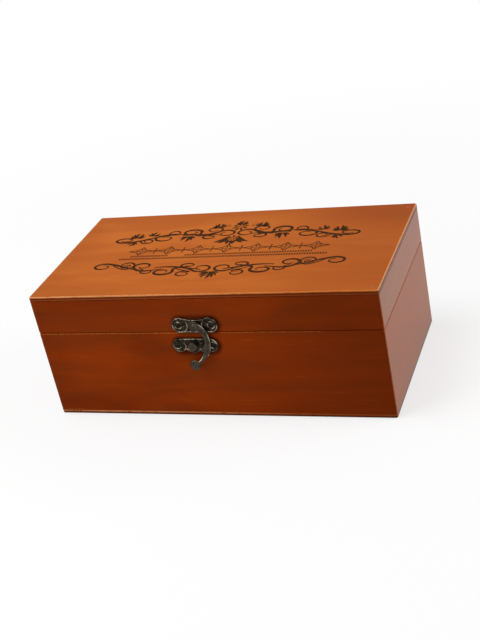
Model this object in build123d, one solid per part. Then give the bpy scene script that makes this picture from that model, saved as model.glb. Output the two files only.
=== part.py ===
from build123d import *
import os
from math import cos, hypot, radians, sin

# Wooden memory box. X runs along the front, Y towards the back, Z up.
# The origin is the middle of the underside; all sizes are in millimetres.

# Case: outside sizes and the height where the lid parts from the base
box_length = 215.0
box_depth = 111.0
box_height = 83.0
seam_height = 58.0
seam_gap = 0.2

# Boards and panels
wall_thickness = 8.0
top_panel_thickness = 2.8
bottom_panel_thickness = 2.5
corner_round = 1.3
panel_edge_round = 1.0
seam_edge_round = 0.7
joint_ease = 0.25

# Brads that hold the two panels
brad_radius = 0.55
brad_head_radius = 0.85
brad_head_height = 0.4
brad_length = 14.0
brad_clearance = 0.03
brad_side_inset = 4.5
brad_front_inset = 4.7
brad_back_inset = 5.5

# Wood screws of the latch and the hinges
screw_shank_radius = 0.75
screw_length = 6.0
screw_tip_length = 1.6
screw_clearance = 0.04
screw_slot_width = 0.45
screw_slot_depth = 0.3
screw_slot_reach = 0.62    # a share of the head's radius
latch_screw_head_radius = 1.9
latch_screw_crown = 0.35
hinge_screw_head_radius = 1.5
hinge_screw_crown = 0.35

# Hinges: surface mounted on the back
hinge_inset = 42.5
hinge_width = 24.0
hinge_leaf_height = 9.5
hinge_leaf_thickness = 0.8
hinge_corner_round = 1.2
hinge_screw_spacing = 15.0
hinge_screw_drop = 5.8
barrel_radius = 1.6
barrel_standoff = 0.1
hinge_pin_radius = 0.7
hinge_pin_clearance = 0.05
hinge_pin_head_radius = 1.15
hinge_pin_head_height = 0.5
knuckle_count = 5
knuckle_gap = 0.15
leaf_gap = 0.3
web_lap = 0.5

# Swing latch: where its two plates sit on the front
latch_offset = -3.5
pivot_rise = 4.8
post_left = 3.5
post_drop = 13.3

# Latch plate on the lid
plate_thickness = 0.8
plate_rim_width = 0.7
plate_rim_rise = 0.25
latch_plate_width = 28.3
latch_lobe_radius = 5.0
latch_lobe_rise = 0.3
latch_plate_bottom = 4.5
latch_saddle_rise = 3.7
saddle_foot = (0.5, 0.87)    # where the saddle leaves a lobe, as shares of its radius
latch_screw_spacing = 20.6
screw_seat_width = 0.6

# Catch plate on the base
catch_plate_width = 28.6
catch_lobe_radius = 4.4
catch_plate_lift = 0.2
catch_plate_shift = 1.1
catch_waist_drop = 3.0
catch_bulge_radius = 4.9
catch_screw_spacing = 22.6

# Rivet and catch post
tail_radius = 2.0
tail_height = 0.7
tail_clearance = 0.15
boss_radius = 3.2
boss_height = 1.25
rivet_radius = 1.2
rivet_head_radius = 2.3
rivet_head_height = 0.9
post_radius = 1.0
post_head_radius = 2.9
post_head_height = 1.25
head_edge = 0.4    # a share of the head's height
pivot_clearance = 0.05
side_clearance = 0.1

# Latch arm: its blade, with the hook that closes under the post
arm_thickness = 1.0
arm_eye_radius = 3.2
arm_width = 3.5
arm_bow = 8.0
nose_clearance = 0.15
nose_height = 2.2
nose_gap = 0.95
nose_tip = (0.1, 0.7)
chin_front = 1.35
chin_back = 1.6
chin_drop = 1.4
throat_right = 1.95
throat_left = 0.5
throat_drop = 1.1
eye_join = 0.4

# Latch arm: the blade's edges, as shares of the bow and of the nose's depth
blade_shoulder = (0.79, 0.16)
blade_belly = (1.0, 0.64)
blade_heel = (0.82, 1.12)
blade_end = (0.32, 1.45)
hook_belly = 0.6

# Latch arm: the cranked neck, and the thumb piece that it carries
neck_lean = 41.0
neck_start = 11.2
neck_run = 2.9
neck_shift = 0.3    # how far the crank's front lies back from its rear, as a share of the thickness
neck_bend = (3.45, 3.7)
neck_root_high = 1.2
neck_root_low = (1.6, 0.5)
thumb_left = 3.4
thumb_drop = 24.3
thumb_radius = 3.3
thumb_thickness = 1.8
thumb_crown = 0.6
thumb_standoff = 3.1

# Cuts and joins: how far a bore opens beyond its face, half the length of a cut that goes
# right through a thin piece, and how deep two forms of one piece run into each other
bore_mouth = 1.0
through = 10.0
lap = 0.05

# Sizes worked out from those above
wall_back = box_depth / 2
lid_bottom = seam_height + seam_gap / 2
base_top = seam_height - seam_gap / 2
top_panel_bottom = box_height - top_panel_thickness
axis_standoff = barrel_radius + barrel_standoff
hinge_x = box_length / 2 - hinge_inset
screw_bore_radius = screw_shank_radius + screw_clearance
pivot_height = seam_height + pivot_rise
post_x = latch_offset - post_left
post_height = pivot_height - post_drop
arm_back = boss_height + side_clearance
arm_front = arm_back + arm_thickness
head_back = arm_front + side_clearance


def on_front(x, z):
    """Plane on the front face: its x is the box's X, its y is up, its z points out."""
    return Plane(origin=(x, -wall_back, z), x_dir=(1, 0, 0), z_dir=(0, -1, 0))


def on_back(x, z):
    """Plane on the back face: its x is the box's -X, its y is up, its z points out."""
    return Plane(origin=(x, wall_back, z), x_dir=(-1, 0, 0), z_dir=(0, 1, 0))


def block(low, high, low_round, high_round):
    """The case's outer block between two heights, its edges rounded."""
    height = high - low
    body = Pos(0, 0, low + height / 2) * Box(box_length, box_depth, height)
    body = fillet(body.edges().filter_by(Axis.Z), corner_round)
    body = fillet(body.edges().group_by(Axis.Z)[0], low_round)
    return fillet(body.edges().group_by(Axis.Z)[-1], high_round)


def turned(*points):
    """A round solid about the Z axis from the corners (radius, height) of its half section."""
    half = Plane.XZ * make_face(Polyline(*points, close=True))
    return revolve(half, Axis.Z)


def domed_head(radius, height, edge, seat):
    """A domed head about the Z axis: a straight edge, then an arc up to its full height."""
    line = Polyline((0, seat), (radius, seat), (radius, seat + edge))
    rise = height - edge
    ball = (radius**2 + rise**2) / (2 * rise)
    lean = 0.5 * radius / ball
    middle = (ball * lean, seat + height - ball + ball * (1 - lean**2) ** 0.5)
    dome = ThreePointArc((radius, seat + edge), middle, (0, seat + height))
    close = Line((0, seat + height), (0, seat))
    return revolve(Plane.XZ * make_face([line, dome, close]), Axis.Z)


def mitred_boards(low, high, low_round, high_round):
    """The four boards of a frame, cut from the case's block along its 45 degree mitres."""
    hollow = Box(box_length - 2 * wall_thickness, box_depth - 2 * wall_thickness, 4 * box_height)
    frame = block(low, high, low_round, high_round) - hollow
    reach = box_depth
    half_length = box_length / 2
    side_apex = half_length - wall_back
    outer = wall_back + reach
    boards = {}
    for name, side in (("front", -1), ("back", 1)):
        corners = [(-side_apex, 0), (side_apex, 0), (half_length + reach, side * outer),
                   (-half_length - reach, side * outer)]
        boards[name] = frame & wedge(corners)
    for name, side in (("left", -1), ("right", 1)):
        corners = [(side * side_apex, 0), (side * (half_length + reach), -outer),
                   (side * (half_length + reach), outer)]
        boards[name] = frame & wedge(corners)
    return boards


def wedge(corners):
    """A tall prism over a plan outline."""
    return Pos(0, 0, -box_height) * extrude(make_face(Polyline(*corners, close=True)), 3 * box_height)


def panel_brad():
    """A brad along Z with the top of its head at zero, pointing down."""
    tip = 2 * brad_radius
    return turned((0, 0), (brad_head_radius, 0), (brad_head_radius, -brad_head_height),
                  (brad_radius, -brad_head_height), (brad_radius, tip - brad_length), (0, -brad_length))


def panel_brad_bore():
    """The hole that one brad leaves, a clearance larger all round."""
    head = brad_head_radius + brad_clearance
    shank = brad_radius + brad_clearance
    seat = brad_head_height + brad_clearance
    return turned((0, bore_mouth), (head, bore_mouth), (head, -seat), (shank, -seat),
                  (shank, -brad_length - brad_clearance), (0, -brad_length - brad_clearance))


def brad_places():
    """Plan places of one panel's brads: the corners and the middles of the four boards."""
    x = box_length / 2 - brad_side_inset
    front = brad_front_inset - wall_back
    back = wall_back - brad_back_inset
    return [(-x, front), (0, front), (x, front), (-x, 0), (x, 0), (-x, back), (0, back), (x, back)]


def screw(head_radius, crown, seat_depth):
    """A wood screw along Z from a seat plane at zero: a crowned head with a cross slot."""
    tip = screw_length - screw_tip_length
    head = domed_head(head_radius, seat_depth + crown, seat_depth, 0)
    shank = turned((0, lap), (screw_shank_radius, lap), (screw_shank_radius, -tip), (0, -screw_length))
    slot = Box(2 * head_radius, screw_slot_width, 2 * screw_slot_depth)
    slot = slot + Rot(0, 0, 90) * slot
    slot = slot & Cylinder(screw_slot_reach * head_radius, through)
    return head + shank - Pos(0, 0, seat_depth + crown) * slot


def screw_bore():
    """The pilot hole of one screw, from its seat plane inwards."""
    tip = screw_length - screw_tip_length
    deep = screw_length + 2 * screw_clearance
    mouth = 2 * bore_mouth
    return turned((0, mouth), (screw_bore_radius, mouth), (screw_bore_radius, -tip), (0, -deep))


def tail_bore(radius):
    """The shallow hole in a board behind a riveted stem and its tail."""
    deep = tail_height + tail_clearance
    wide = radius + tail_clearance
    return turned((0, bore_mouth), (wide, bore_mouth), (wide, -deep), (0, -deep))


def riveted_stem(radius, head_radius, head_height):
    """A stem along Z from the wood's face: its tail behind the plate, its domed head in front."""
    stem = turned((0, -tail_height), (tail_radius, -tail_height), (tail_radius, -side_clearance / 2),
                  (radius, -side_clearance / 2), (radius, head_back + lap), (0, head_back + lap))
    return stem + domed_head(head_radius, head_height, head_edge * head_height, head_back)


def screw_holes(spacing, head_radius, rise):
    """Stepped holes through a plate for two screws: a shank hole and a sunk seat for the head."""
    bore = Cylinder(screw_bore_radius, through)
    sink_radius = head_radius + screw_clearance
    sink_floor = plate_thickness / 2
    sink = Pos(0, 0, sink_floor + through / 2) * Cylinder(sink_radius, through)
    return [Pos(side * spacing / 2, rise, 0) * (bore + sink) for side in (-1, 1)]


def screw_seats(spacing, head_radius, rise):
    """Raised rings round the two screws of a plate."""
    ring = Circle(head_radius + screw_seat_width) - Circle(head_radius)
    height = plate_thickness + plate_rim_rise
    return [Pos(side * spacing / 2, rise, 0) * extrude(ring, height) for side in (-1, 1)]


def lobe_rings(outline, reach, radius, rise):
    """The raised rim carried on round the inner side of both lobes."""
    ring = Circle(radius) - Circle(radius - plate_rim_width)
    height = plate_thickness + plate_rim_rise
    return [extrude((Pos(side * reach, rise) * ring) & outline, height) for side in (-1, 1)]


def rimmed_plate(outline):
    """A thin plate with a raised rim all round its outline."""
    rim = outline - offset(outline, -plate_rim_width)
    return extrude(outline, plate_thickness) + extrude(rim, plate_thickness + plate_rim_rise)


def latch_plate_outline():
    """Two round lobes, a saddle between them at the top and a straight bottom edge."""
    reach = latch_plate_width / 2 - latch_lobe_radius
    shoulder = latch_lobe_rise + saddle_foot[1] * latch_lobe_radius
    hip = saddle_foot[0] * latch_lobe_radius
    saddle = ThreePointArc((-reach + hip, shoulder), (0, latch_saddle_rise), (reach - hip, shoulder))
    sides = Polyline((reach - hip, shoulder), (reach, latch_lobe_rise), (reach, -latch_plate_bottom),
                     (-reach, -latch_plate_bottom), (-reach, latch_lobe_rise), (-reach + hip, shoulder))
    outline = make_face([saddle, sides])
    for side in (-1, 1):
        outline += Pos(side * reach, latch_lobe_rise) * Circle(latch_lobe_radius)
    above = Pos(0, through - latch_plate_bottom) * Rectangle(2 * latch_plate_width, 2 * through)
    return outline & above


def catch_plate_outline():
    """A straight top edge, two round ends and a round bulge under the post."""
    reach = catch_plate_width / 2 - catch_lobe_radius
    band_height = catch_lobe_radius + catch_waist_drop
    band = Pos(0, (catch_lobe_radius - catch_waist_drop) / 2) * Rectangle(2 * reach, band_height)
    outline = band + Pos(-catch_plate_shift, -catch_plate_lift) * Circle(catch_bulge_radius)
    for side in (-1, 1):
        outline += Pos(side * reach, 0) * Circle(catch_lobe_radius)
    below = Pos(0, catch_lobe_radius - through) * Rectangle(2 * catch_plate_width, 2 * through)
    return outline & below


def latch_plate():
    """The lid's plate, with the boss that carries the arm."""
    outline = latch_plate_outline()
    reach = latch_plate_width / 2 - latch_lobe_radius
    plate = rimmed_plate(outline) + extrude(Circle(boss_radius), boss_height)
    plate += lobe_rings(outline, reach, latch_lobe_radius, latch_lobe_rise)
    plate += screw_seats(latch_screw_spacing, latch_screw_head_radius, latch_lobe_rise)
    plate -= screw_holes(latch_screw_spacing, latch_screw_head_radius, latch_lobe_rise)
    return plate - Cylinder(rivet_radius + screw_clearance, through)


def catch_plate():
    """The base's plate, with a low boss round the post."""
    boss = Pos(-catch_plate_shift, -catch_plate_lift)
    outline = catch_plate_outline()
    reach = catch_plate_width / 2 - catch_lobe_radius
    plate = rimmed_plate(outline)
    plate += lobe_rings(outline, reach, catch_lobe_radius, 0)
    plate += boss * extrude(Circle(post_head_radius), plate_thickness + plate_rim_rise)
    plate += screw_seats(catch_screw_spacing, latch_screw_head_radius, 0)
    plate -= screw_holes(catch_screw_spacing, latch_screw_head_radius, 0)
    return plate - boss * Cylinder(post_radius + screw_clearance, through)


def arm_outline():
    """The arm's shape from the front, about its pivot: eye, bowed blade, hooked nose, neck."""
    reach = hypot(post_left, post_drop)
    nose = (post_head_radius + nose_gap - post_left, -(reach + post_radius + nose_clearance))
    chin_height = nose[1] - nose_height
    chin_foot = (chin_back, chin_height - chin_drop)
    eye_top = (eye_join, arm_eye_radius - lap)
    eye_bottom = (-throat_left, lap - arm_eye_radius)
    throat_end = (throat_right, -arm_eye_radius - throat_drop)
    root_high = (-thumb_left, neck_root_high - thumb_drop)
    root_low = (neck_root_low[0] - thumb_left, -neck_root_low[1] - thumb_drop)
    bend = (neck_bend[0] - thumb_left, neck_bend[1] - thumb_drop)
    shoulder, belly, heel, end = [(across * arm_bow, down * nose[1]) for across, down in
                                  (blade_shoulder, blade_belly, blade_heel, blade_end)]
    outer_top = ThreePointArc(eye_top, shoulder, belly)
    outer_low = ThreePointArc(belly, heel, end)
    under = Polyline(end, root_low, root_high)
    neck = ThreePointArc(root_high, bend, chin_foot)
    under_nose = (nose[0] + nose_tip[0], nose[1] - nose_tip[1])
    chin = Polyline(chin_foot, (chin_front, chin_height), under_nose, nose)
    hook = ThreePointArc(nose, (arm_bow - arm_width, hook_belly * nose[1]), throat_end)
    throat = Polyline(throat_end, eye_bottom, (0, 0), eye_top)
    blade = make_face([outer_top, outer_low, under, neck, chin, hook, throat])
    return blade + Circle(arm_eye_radius)


def arm_ribbon():
    """The arm's side shape: flat, then a crank that carries the neck clear of the post's head."""
    lean = radians(neck_lean)
    along = (-cos(lean), 0, -sin(lean))
    upward = (-sin(lean), 0, cos(lean))
    side = Plane(origin=(latch_offset, -wall_back, pivot_height), x_dir=along, z_dir=upward)
    crank = neck_start + neck_run
    far = 3 * thumb_drop
    back = [(-far, arm_back), (neck_start, arm_back), (crank, thumb_standoff), (far, thumb_standoff)]
    front = [(x - neck_shift * arm_thickness, y + arm_thickness) for x, y in back[1:3]]
    ends = [(far, thumb_standoff + arm_thickness), (-far, arm_front)]
    outline = make_face(Polyline(*back, ends[0], *reversed(front), ends[1], close=True))
    return extrude(side * outline, thumb_drop * 2, both=True)


def latch_arm():
    """The swinging arm: a flat hooked blade, cranked at the neck, with a round thumb piece."""
    front = on_front(latch_offset, pivot_height)
    blade = front * extrude(arm_outline(), thumb_standoff + arm_thickness)
    blade = blade & arm_ribbon()
    thumb = domed_head(thumb_radius, thumb_thickness, thumb_thickness - thumb_crown, thumb_standoff)
    blade += front * (Pos(-thumb_left, -thumb_drop, 0) * thumb)
    return blade - front * Cylinder(rivet_radius + pivot_clearance, 2 * through)


def hinge_leaf(side, own_knuckles):
    """One hinge leaf about its barrel's middle: side is 1 for the lid's leaf and -1 for the base's."""
    height = hinge_leaf_height - axis_standoff - leaf_gap
    low = axis_standoff + leaf_gap
    flap = extrude(RectangleRounded(hinge_width, 2 * height, hinge_corner_round), hinge_leaf_thickness)
    flap &= Pos(0, side * height, 0) * Box(2 * hinge_width, 2 * height, 4 * hinge_leaf_thickness)
    leaf = Pos(0, side * low, 0) * flap
    pitch = hinge_width / knuckle_count
    length = pitch - knuckle_gap
    for index in own_knuckles:
        x = (index - (knuckle_count - 1) / 2) * pitch
        barrel = Pos(x, 0, axis_standoff) * Rot(0, 90, 0) * Cylinder(barrel_radius, length)
        web_height = low + web_lap
        web = Box(length, web_height, hinge_leaf_thickness)
        web = Pos(x, side * web_height / 2, hinge_leaf_thickness / 2) * web
        leaf += barrel
        leaf += web
    bore = Cylinder(hinge_pin_radius + hinge_pin_clearance, 2 * hinge_width)
    leaf -= Pos(0, 0, axis_standoff) * Rot(0, 90, 0) * bore
    for x in (-hinge_screw_spacing / 2, hinge_screw_spacing / 2):
        leaf -= Pos(x, side * hinge_screw_drop, 0) * Cylinder(screw_bore_radius, through)
        sink = Cylinder(hinge_screw_head_radius + screw_clearance, hinge_leaf_thickness)
        leaf -= Pos(x, side * hinge_screw_drop, hinge_leaf_thickness) * sink
    return leaf


def hinge_pin():
    """The pin through one barrel, with a low head at each end."""
    half = hinge_width / 2 - knuckle_gap / 2 + hinge_pin_clearance
    tip = half + hinge_pin_head_height
    pin = turned((0, -tip), (hinge_pin_head_radius, -tip), (hinge_pin_head_radius, -half),
                 (hinge_pin_radius, -half), (hinge_pin_radius, half), (hinge_pin_head_radius, half),
                 (hinge_pin_head_radius, tip), (0, tip))
    return Pos(0, 0, axis_standoff) * Rot(0, 90, 0) * pin


def two_screws(plane, spacing, rise, head_radius, crown, seat, sink):
    """Two screws side by side; seat is how far their heads' undersides stand off the wood."""
    body = screw(head_radius, crown, sink)
    return [plane * (Pos(side * spacing / 2, rise, seat) * body) for side in (-1, 1)]


def two_bores(plane, spacing, rise, seat):
    """The pilot holes of two such screws."""
    return [plane * (Pos(side * spacing / 2, rise, seat) * screw_bore()) for side in (-1, 1)]


parts = {}

# Panels, boards and their brads
base_boards = mitred_boards(bottom_panel_thickness, base_top, joint_ease, seam_edge_round)
lid_boards = mitred_boards(lid_bottom, top_panel_bottom, seam_edge_round, joint_ease)
bottom_panel = block(0, bottom_panel_thickness, panel_edge_round, joint_ease)
top_panel = block(top_panel_bottom, box_height, joint_ease, panel_edge_round)

top_brads = [Pos(x, y, box_height) * panel_brad() for x, y in brad_places()]
top_bores = [Pos(x, y, box_height) * panel_brad_bore() for x, y in brad_places()]
bottom_brads = [Pos(x, y, 0) * Rot(180, 0, 0) * panel_brad() for x, y in brad_places()]
bottom_bores = [Pos(x, y, 0) * Rot(180, 0, 0) * panel_brad_bore() for x, y in brad_places()]
top_panel -= top_bores
bottom_panel -= bottom_bores

# Places of the latch, the catch and the hinges
latch_plane = on_front(latch_offset, pivot_height)
catch_plane = on_front(post_x + catch_plate_shift, post_height + catch_plate_lift)
post_plane = on_front(post_x, post_height)
hinge_planes = {"left": on_back(-hinge_x, seam_height), "right": on_back(hinge_x, seam_height)}
latch_seat = plate_thickness / 2
hinge_seat = hinge_leaf_thickness / 2

lid_bores = two_bores(latch_plane, latch_screw_spacing, latch_lobe_rise, latch_seat)
lid_bores.append(latch_plane * tail_bore(tail_radius))
base_bores = two_bores(catch_plane, catch_screw_spacing, 0, latch_seat)
base_bores.append(post_plane * tail_bore(tail_radius))
lid_hinge_screws = []
base_hinge_screws = []
for plane in hinge_planes.values():
    for side, bores, screws in ((1, lid_bores, lid_hinge_screws), (-1, base_bores, base_hinge_screws)):
        rise = side * hinge_screw_drop
        bores += two_bores(plane, hinge_screw_spacing, rise, hinge_seat)
        screws += two_screws(plane, hinge_screw_spacing, rise, hinge_screw_head_radius, hinge_screw_crown,
                             hinge_seat, hinge_leaf_thickness - hinge_seat)

for name, board in base_boards.items():
    parts[f"base_{name}_board"] = board - bottom_bores - base_bores
for name, board in lid_boards.items():
    parts[f"lid_{name}_board"] = board - top_bores - lid_bores
parts["bottom_panel"] = bottom_panel
parts["lid_top_panel"] = top_panel
parts["bottom_panel_brads"] = Compound(children=bottom_brads)
parts["lid_top_brads"] = Compound(children=top_brads)

# Swing latch
parts["latch_plate"] = latch_plane * latch_plate()
parts["latch_plate_screws"] = Compound(children=two_screws(
    latch_plane, latch_screw_spacing, latch_lobe_rise, latch_screw_head_radius, latch_screw_crown,
    latch_seat, plate_thickness - latch_seat))
parts["latch_rivet"] = latch_plane * riveted_stem(rivet_radius, rivet_head_radius, rivet_head_height)
parts["latch_arm"] = latch_arm()
parts["catch_plate"] = catch_plane * catch_plate()
parts["catch_plate_screws"] = Compound(children=two_screws(
    catch_plane, catch_screw_spacing, 0, latch_screw_head_radius, latch_screw_crown,
    latch_seat, plate_thickness - latch_seat))
parts["catch_post"] = post_plane * riveted_stem(post_radius, post_head_radius, post_head_height)

# Hinges
base_knuckles = range(0, knuckle_count, 2)
lid_knuckles = range(1, knuckle_count, 2)
for name, plane in hinge_planes.items():
    parts[f"{name}_hinge_lid_leaf"] = plane * hinge_leaf(1, lid_knuckles)
    parts[f"{name}_hinge_base_leaf"] = plane * hinge_leaf(-1, base_knuckles)
    parts[f"{name}_hinge_pin"] = plane * hinge_pin()
parts["lid_hinge_screws"] = Compound(children=lid_hinge_screws)
parts["base_hinge_screws"] = Compound(children=base_hinge_screws)

os.makedirs("parts", exist_ok=True)
for name, part in parts.items():
    export_step(part, f"parts/{name}.step")
    print(f"{name}: {len(part.solids())} solid, {part.volume:.1f} mm3")
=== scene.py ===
from math import cos, pi, radians, sin

import bmesh
import bpy
import numpy as np
from mathutils import Matrix, Vector


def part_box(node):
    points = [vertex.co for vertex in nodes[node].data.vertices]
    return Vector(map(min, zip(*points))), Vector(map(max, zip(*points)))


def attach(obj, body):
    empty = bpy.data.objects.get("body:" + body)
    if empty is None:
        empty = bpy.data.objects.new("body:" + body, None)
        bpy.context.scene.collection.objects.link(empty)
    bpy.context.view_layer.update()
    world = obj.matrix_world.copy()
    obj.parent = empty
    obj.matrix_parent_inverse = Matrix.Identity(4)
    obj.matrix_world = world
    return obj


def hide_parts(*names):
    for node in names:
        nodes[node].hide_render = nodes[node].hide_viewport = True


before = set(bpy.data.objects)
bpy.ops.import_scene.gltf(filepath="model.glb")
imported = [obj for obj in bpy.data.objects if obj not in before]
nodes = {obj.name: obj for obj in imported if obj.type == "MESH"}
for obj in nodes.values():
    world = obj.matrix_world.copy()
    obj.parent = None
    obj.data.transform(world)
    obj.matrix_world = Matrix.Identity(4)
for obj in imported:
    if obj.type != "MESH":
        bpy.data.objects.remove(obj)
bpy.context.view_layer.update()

mm = 0.001

# the case's own planes, read from the frame
topLow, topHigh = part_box("lid_top_panel")
frontLow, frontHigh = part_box("lid_front_board")
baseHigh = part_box("base_front_board")[1]
case = {
    "halfLength": topHigh.x,
    "halfDepth": topHigh.y,
    "height": topHigh.z,
    "seam": (frontLow.z + baseHigh.z) / 2,
    "wall": frontHigh.y - frontLow.y,
    "topJoint": topLow.z,
}


class Value:
    # a number socket whose operators add Math nodes
    def __init__(self, finish, socket):
        self.finish, self.socket = finish, socket

    def maths(self, operation, other, flipped=False):
        pair = (other, self) if flipped else (self, other)
        return self.finish.node("Math", {"operation": operation}, {0: pair[0], 1: pair[1]})

    def __add__(self, other):
        return self.maths("ADD", other)

    def __sub__(self, other):
        return self.maths("SUBTRACT", other)

    def __mul__(self, other):
        return self.maths("MULTIPLY", other)

    def __pow__(self, other):
        return self.maths("POWER", other)

    def __radd__(self, other):
        return self.maths("ADD", other, True)

    def __rsub__(self, other):
        return self.maths("SUBTRACT", other, True)

    def __rmul__(self, other):
        return self.maths("MULTIPLY", other, True)

    def least(self, other):
        return self.maths("MINIMUM", other)

    def most(self, other):
        return self.maths("MAXIMUM", other)

    def size(self):
        return self.maths("ABSOLUTE", 0)


class Finish:
    # one material and the nodes it is drawn with
    def __init__(self, name):
        self.material = bpy.data.materials.new(name)
        self.material.use_nodes = True
        self.tree = self.material.node_tree
        self.shader = self.tree.nodes["Principled BSDF"]

    def node(self, kind, settings=None, inputs=None, output=0):
        # a node whose settings are made first, then its sockets fed with values or links
        made = self.tree.nodes.new("ShaderNode" + kind)
        for key, value in (settings or {}).items():
            setattr(made, key, value)
        for key, value in (inputs or {}).items():
            self.feed(made.inputs[key], value)
        return Value(self, made.outputs[output])

    def feed(self, socket, value):
        if isinstance(value, Value):
            self.tree.links.new(value.socket, socket)
        elif socket.type == "RGBA":
            socket.default_value = (*value[:3], 1)
        else:
            socket.default_value = value

    def surface(self, **sockets):
        for name, value in sockets.items():
            self.feed(self.shader.inputs[name.replace("_", " ")], value)
        return self.material

    def axes(self):
        where = self.node("TexCoord", output="Object")
        return [self.node("SeparateXYZ", None, {0: where}, k) for k in range(3)]

    def noise(self, scale, detail, rough, bend=0.0, offset=(0, 0, 0)):
        # a noise on the object's own coordinates, scaled on each axis and then shifted
        where = self.node("TexCoord", output="Object")
        place = self.node("Mapping", None, {"Vector": where, "Scale": scale, "Location": offset})
        return self.node("TexNoise", None, {"Vector": place, "Scale": 1.0, "Detail": detail,
                                            "Roughness": rough, "Distortion": bend})

    def evenNoise(self, scale, detail, rough):
        return self.noise([scale] * 3, detail, rough)

    def step(self, value, low, high, start=0.0, end=1.0):
        # a smooth change from start at low to end at high
        return self.node("MapRange", {"interpolation_type": "SMOOTHSTEP"},
                         {"Value": value, "From Min": low, "From Max": high,
                          "To Min": start, "To Max": end})

    def mix(self, factor, first, second):
        # the first colour where factor is 0, the second where it is 1
        return self.node("Mix", {"data_type": "RGBA"}, {0: factor, 6: first, 7: second}, 2)

    def bump(self, height, depth):
        return self.node("Bump", None, {"Height": height, "Distance": depth, "Strength": 1.0})


def tone(red, green, blue):
    # an sRGB colour, 0 to 255, as the linear colour that shaders use
    parts = [v / 255 for v in (red, green, blue)]
    return tuple(v / 12.92 if v <= 0.04045 else ((v + 0.055) / 1.055) ** 2.4 for v in parts)


stain = {
    "topLight": tone(194, 104, 34),
    "topMid": tone(184, 94, 29),
    "topDark": tone(158, 74, 20),
    "wallRed": tone(164, 62, 9),
    "wallBrown": tone(144, 58, 16),
    "wallDark": tone(112, 40, 6),
    "sideRed": tone(176, 86, 24),
    "sideBrown": tone(167, 89, 32),
    "sideDark": tone(138, 66, 20),
    "insideLight": tone(186, 124, 74),
    "insideDark": tone(150, 90, 48),
    "bare": tone(226, 160, 104),
    "golden": tone(206, 118, 44),
    # a dark tone, for dirt and for the painted shadow round the latch's plates
    "darkening": tone(64, 20, 4),
}

# each noise in the wood: its scales across and along the fibres, its detail, roughness and bend
figure = {
    "clouds": (26, 7, 2, 0.45, 0.5),
    "patches": (48, 9, 3, 0.5, 0.9),
    "bands": (210, 6, 4, 0.6, 0.2),
    "fibres": (1300, 30, 3, 0.6),
    "scratches": (1100, 60, 2, 0.4),
    "ragged": (500, 120, 4, 0.7),
    "chips": (1300, 1300, 3, 0.6),
}

# in the next dictionaries a pair is where a mark begins and where it is full, except where a note says
# otherwise; four numbers are that pair and its strength at either end; a share is its greatest strength
marks = {
    "patches": (0.38, 0.62),
    "clouds": (0.48, 0.72),
    "bands": (0.55, 0.78),
    "bandShare": 0.22,
    "fibres": (0.35, 0.8),
    "fibreShare": 0.12,
    # where the painted shade towards the right-hand end begins and where it is full
    "shadeRightward": (-20 * mm, 110 * mm),
    "backward": (5 * mm, 55 * mm),
    "backRight": (-10 * mm, 100 * mm),
    "rimward": (26 * mm, 2 * mm),
    "rimShare": 0.3,
    "skin": (0.5 * mm, 0.2 * mm),
    # how much of the painted shade towards the right the panels' edges take
    "edgeShadeRight": 0.6,
    "scratches": (0.66, 0.76),
    "scratched": (0.45, 0.65),
    "scratchFades": (90 * mm, -10 * mm, 0.08, 0.3),
    "insideWall": (0.5, 0.6),            # as shares of the wall
    "insideClear": (1 * mm, 2 * mm),     # from the top and the bottom
    "insideTone": (0.4, 0.62),
}
rubbed = {
    "reach": 0.75 * mm,
    "ragged": 1.6,                       # how far each noise shifts the rim, in reaches
    "chipped": 0.9,
    "rim": (1.05, 0.7),                  # in reaches
    "brokenBy": (0.6, 0.4),              # the ragged noise's and the chips' parts
    "broken": (0.36, 0.5),
    "foot": (2.2 * mm, 0.35 * mm),       # a line's level and half its width
    "footFades": (80 * mm, -20 * mm, 0.25, 0.9),
    "under": (2.35 * mm, 0.12 * mm),     # the same, down from the top
    "underShare": 0.12,
    "leftward": (70 * mm, -60 * mm),
    "side": (1.4 * mm, 0.6 * mm),
    "share": 0.8,
    # the next six draw a painted highlight along the base's upper edge, below the seam
    "seamHighlightDrop": 0.5 * mm,                 # below the seam
    "seamHighlight": 0.15 * mm,                    # half its width
    "seamHighlightChips": (0.42, 0.54),
    "seamHighlightEnd": 70 * mm,
    "seamHighlightFade": 4 * mm,
    "seamHighlightShare": (-10 * mm, 30 * mm, 0.6, 0.35),
}
grimeAndShadow = {
    "joint": 0.12 * mm,                  # half its width
    "jointGaps": (0.38, 0.5),
    "ridge": (1.35 * mm, 0.25 * mm),     # down from the top, and half its width
    "ridgeShare": 0.7,
    "foot": (0.5 * mm, 0.7 * mm),        # its level and half its width
    "wall": (1.2 * mm, 0.8 * mm),
    "share": 0.75,
    # the next three draw a painted shadow round the latch's plates
    "plateShadow": (2.8 * mm, 0),
    "plateShadowFront": (0, -20 * mm),
    "plateShadowShare": 0.72,
}
varnish = {
    "side": (0.45 * mm, 0.2 * mm),
    "dirtDulls": 0.7,
    "index": 1.5,
    "roughness": 0.16,
    "under": 0.45,                       # the roughness of the wood below it
    "fibres": (0.3, 0.8),
    "fibreRough": 0.1,
    "insideRough": 0.2,
    "fibreRelief": 0.6,
    "bandRelief": 0.6,
    "dirtRelief": 0.8,
    "reliefDepth": 0.02 * mm,
}


def caseMasks(f):
    # distances from the case's outer planes, in metres; skin is 1 on the boards' outer faces
    x, y, z = f.axes()
    fromSide = case["halfLength"] - x.size()
    fromTop = case["height"] - z
    fromWall = fromSide.least(case["halfDepth"] - y.size())
    return {"x": x, "y": y, "z": z, "side": fromSide, "wall": fromWall, "top": fromTop,
            "skin": f.step(fromWall, *marks["skin"])}


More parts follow.
